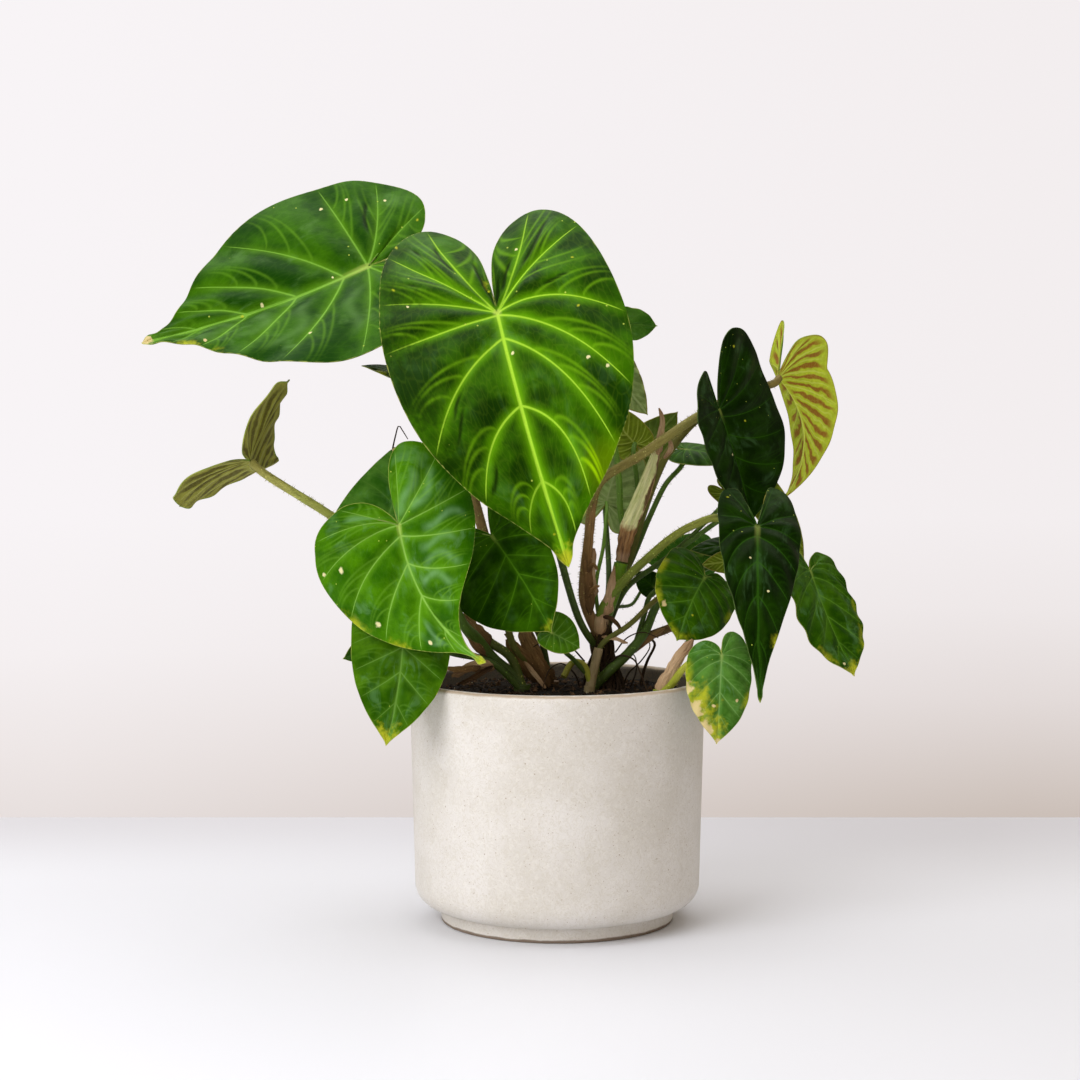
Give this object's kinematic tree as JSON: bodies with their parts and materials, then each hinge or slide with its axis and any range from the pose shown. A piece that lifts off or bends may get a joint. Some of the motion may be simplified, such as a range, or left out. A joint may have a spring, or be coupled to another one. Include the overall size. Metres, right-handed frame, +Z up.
{
  "type": "potted philodendron",
  "caption": "Philodendron verrucosum with heart-shaped, pale-veined leaves on bristly petioles, in a round off-white stoneware planter filled with soil.",
  "frame": {"origin": "centre of the planter's resting face", "axes": "+Z up along the planter's axis, -Y towards the side that the largest leaf faces, +X to the right of someone who looks along +Y"},
  "size_m": [0.3672, 0.1635, 0.3846],
  "materials": {
    "stoneware": "satin speckled off-white glaze",
    "potting_mix": "dark damp peat and bark",
    "leaf_green": "satin velvety green with yellow-green veins",
    "leaf_dark": "satin very dark green",
    "leaf_underside": "matt yellow-green between red-brown bands",
    "petiole": "olive-brown, bristly",
    "dry_sheath": "dry papery tan",
    "root": "matt dark brown"
  },
  "bodies": {
    "root": {"pot": "stoneware", "soil": "potting_mix", "blade_front_large": "leaf_green", "blade_upper_left": "leaf_green", "blade_left_middle": "leaf_green", "blade_left_low": "leaf_green", "blade_left_back": "leaf_dark", "blade_left_hidden": "leaf_green", "blade_young": "leaf_underside", "blade_behind_front": "leaf_green", "blade_centre_low": "leaf_dark", "blade_centre_small": "leaf_dark", "blade_back_top": "leaf_green", "blade_back_wavy": "leaf_underside", "blade_back_curled": "leaf_underside", "blade_back_olive": "leaf_underside", "blade_back_grey": "leaf_underside", "blade_back_right": "leaf_dark", "blade_right_upper": "leaf_dark", "blade_right_lower": "leaf_dark", "blade_right_new": "leaf_underside", "blade_right_outer": "leaf_green", "blade_right_inner": "leaf_green", "blade_rim_yellow": "leaf_green", "blade_inner_olive": "leaf_green", "blade_inner_flat": "leaf_dark", "blade_inner_green": "leaf_underside", "blade_outer_olive": "leaf_underside", "blade_outer_small": "leaf_underside", "blade_inner_small": "leaf_dark", "shoot_right": "petiole", "shoot_right_low": "petiole", "shoot_centre": "petiole", "shoot_left": "petiole", "shoot_front": "petiole", "shoot_rim": "petiole", "shoot_back_rim": "petiole", "sheath_new_leaf": "dry_sheath", "root_curl": "root"}
  },
  "joints": []
}
